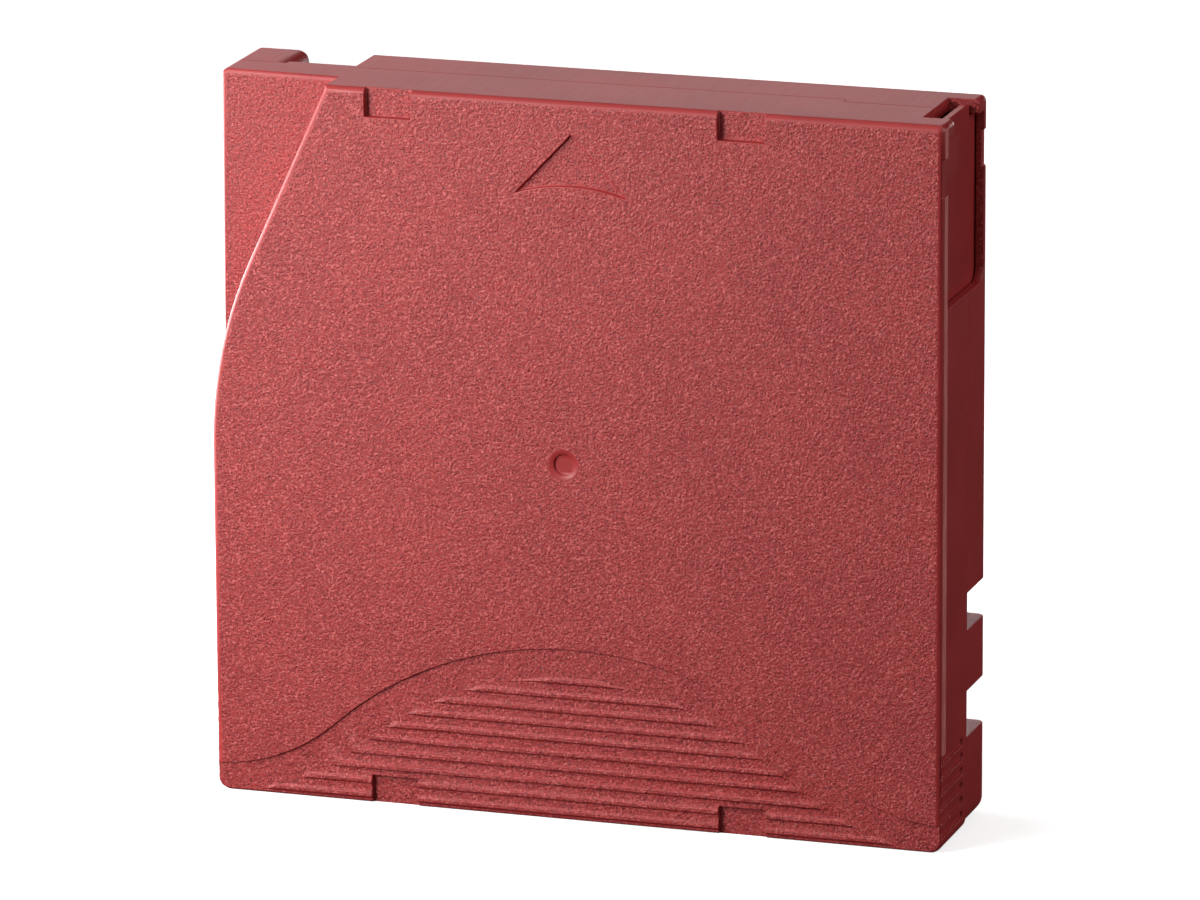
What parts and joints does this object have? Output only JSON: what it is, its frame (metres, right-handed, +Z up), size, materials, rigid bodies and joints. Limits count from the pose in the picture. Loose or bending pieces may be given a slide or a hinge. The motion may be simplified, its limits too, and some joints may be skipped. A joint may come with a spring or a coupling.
{
  "type": "data tape cartridge",
  "caption": "Single-reel data tape cartridge on its label edge: stepped insertion corner, sprung side door over a leader pin, toothed hub with brake, write-protect slider",
  "frame": {"origin": "middle of the rear (label) edge that the cartridge stands on, halfway across its width and its thickness", "axes": "+X to the right seen from the main face, towards the door side; +Y from the main face towards the hub face; +Z up, the direction in which the cartridge enters a drive"},
  "size_m": [0.1054, 0.0216, 0.102],
  "materials": {
    "shell_plastic": "spark-eroded, pearl pigment",
    "tab_plastic": "moulded satin",
    "hub_plastic": "glass-filled, moulded satin",
    "flange_plastic": "moulded satin",
    "tape_film": "coated film wound edge on",
    "clutch_steel": "stamped and tumbled",
    "brake_plastic": "moulded acetal",
    "pad_plastic": "moulded acetal",
    "clip_plastic": "moulded",
    "pin_steel": "turned and polished",
    "spring_steel": "drawn stainless",
    "screw_steel": "cold-headed, plated",
    "board_laminate": "solder mask over glass laminate"
  },
  "bodies": {
    "case": {"upper_shell": "shell_plastic", "lower_shell": "shell_plastic", "case_screws": "screw_steel", "leader_pin": "pin_steel", "leader_clip": "clip_plastic", "tape_leader": "tape_film", "pin_spring": "spring_steel", "memory_board": "board_laminate", "door_spring": "spring_steel", "brake_spring": "spring_steel"},
    "door": {"door": "shell_plastic"},
    "write_protect": {"write_protect_tab": "tab_plastic"},
    "reel": {"reel_hub": "hub_plastic", "upper_flange": "flange_plastic", "tape_pack": "tape_film", "clutch_plate": "clutch_steel"},
    "brake": {"brake_disc": "brake_plastic"},
    "release": {"release_pad": "pad_plastic"}
  },
  "joints": [
    {"name": "door_slide", "type": "slide", "parent": "case", "child": "door", "axis": [0, 0, -1], "range_m": [0, 0.023], "stiffness_N_per_m": 20, "springref_m": -0.02, "deforming": ["door_spring"]},
    {"name": "write_protect_slide", "type": "slide", "parent": "case", "child": "write_protect", "axis": [1, 0, 0], "range_m": [0, 0.0052]},
    {"name": "reel_spin", "type": "hinge", "parent": "case", "child": "reel", "pos_m": [-0.0013, 0, 0.0509], "axis": [0, 1, 0], "continuous": true},
    {"name": "brake_lift", "type": "slide", "parent": "case", "child": "brake", "axis": [0, -1, 0], "range_m": [0, 0.0016], "stiffness_N_per_m": 800, "springref_m": -0.003, "deforming": ["brake_spring"]},
    {"name": "pad_press", "type": "slide", "parent": "reel", "child": "release", "axis": [0, -1, 0], "range_m": [0, 0.0016]}
  ],
  "couplings": [
    {"joint": "pad_press", "follows": "brake_lift", "ratio": 1}
  ]
}
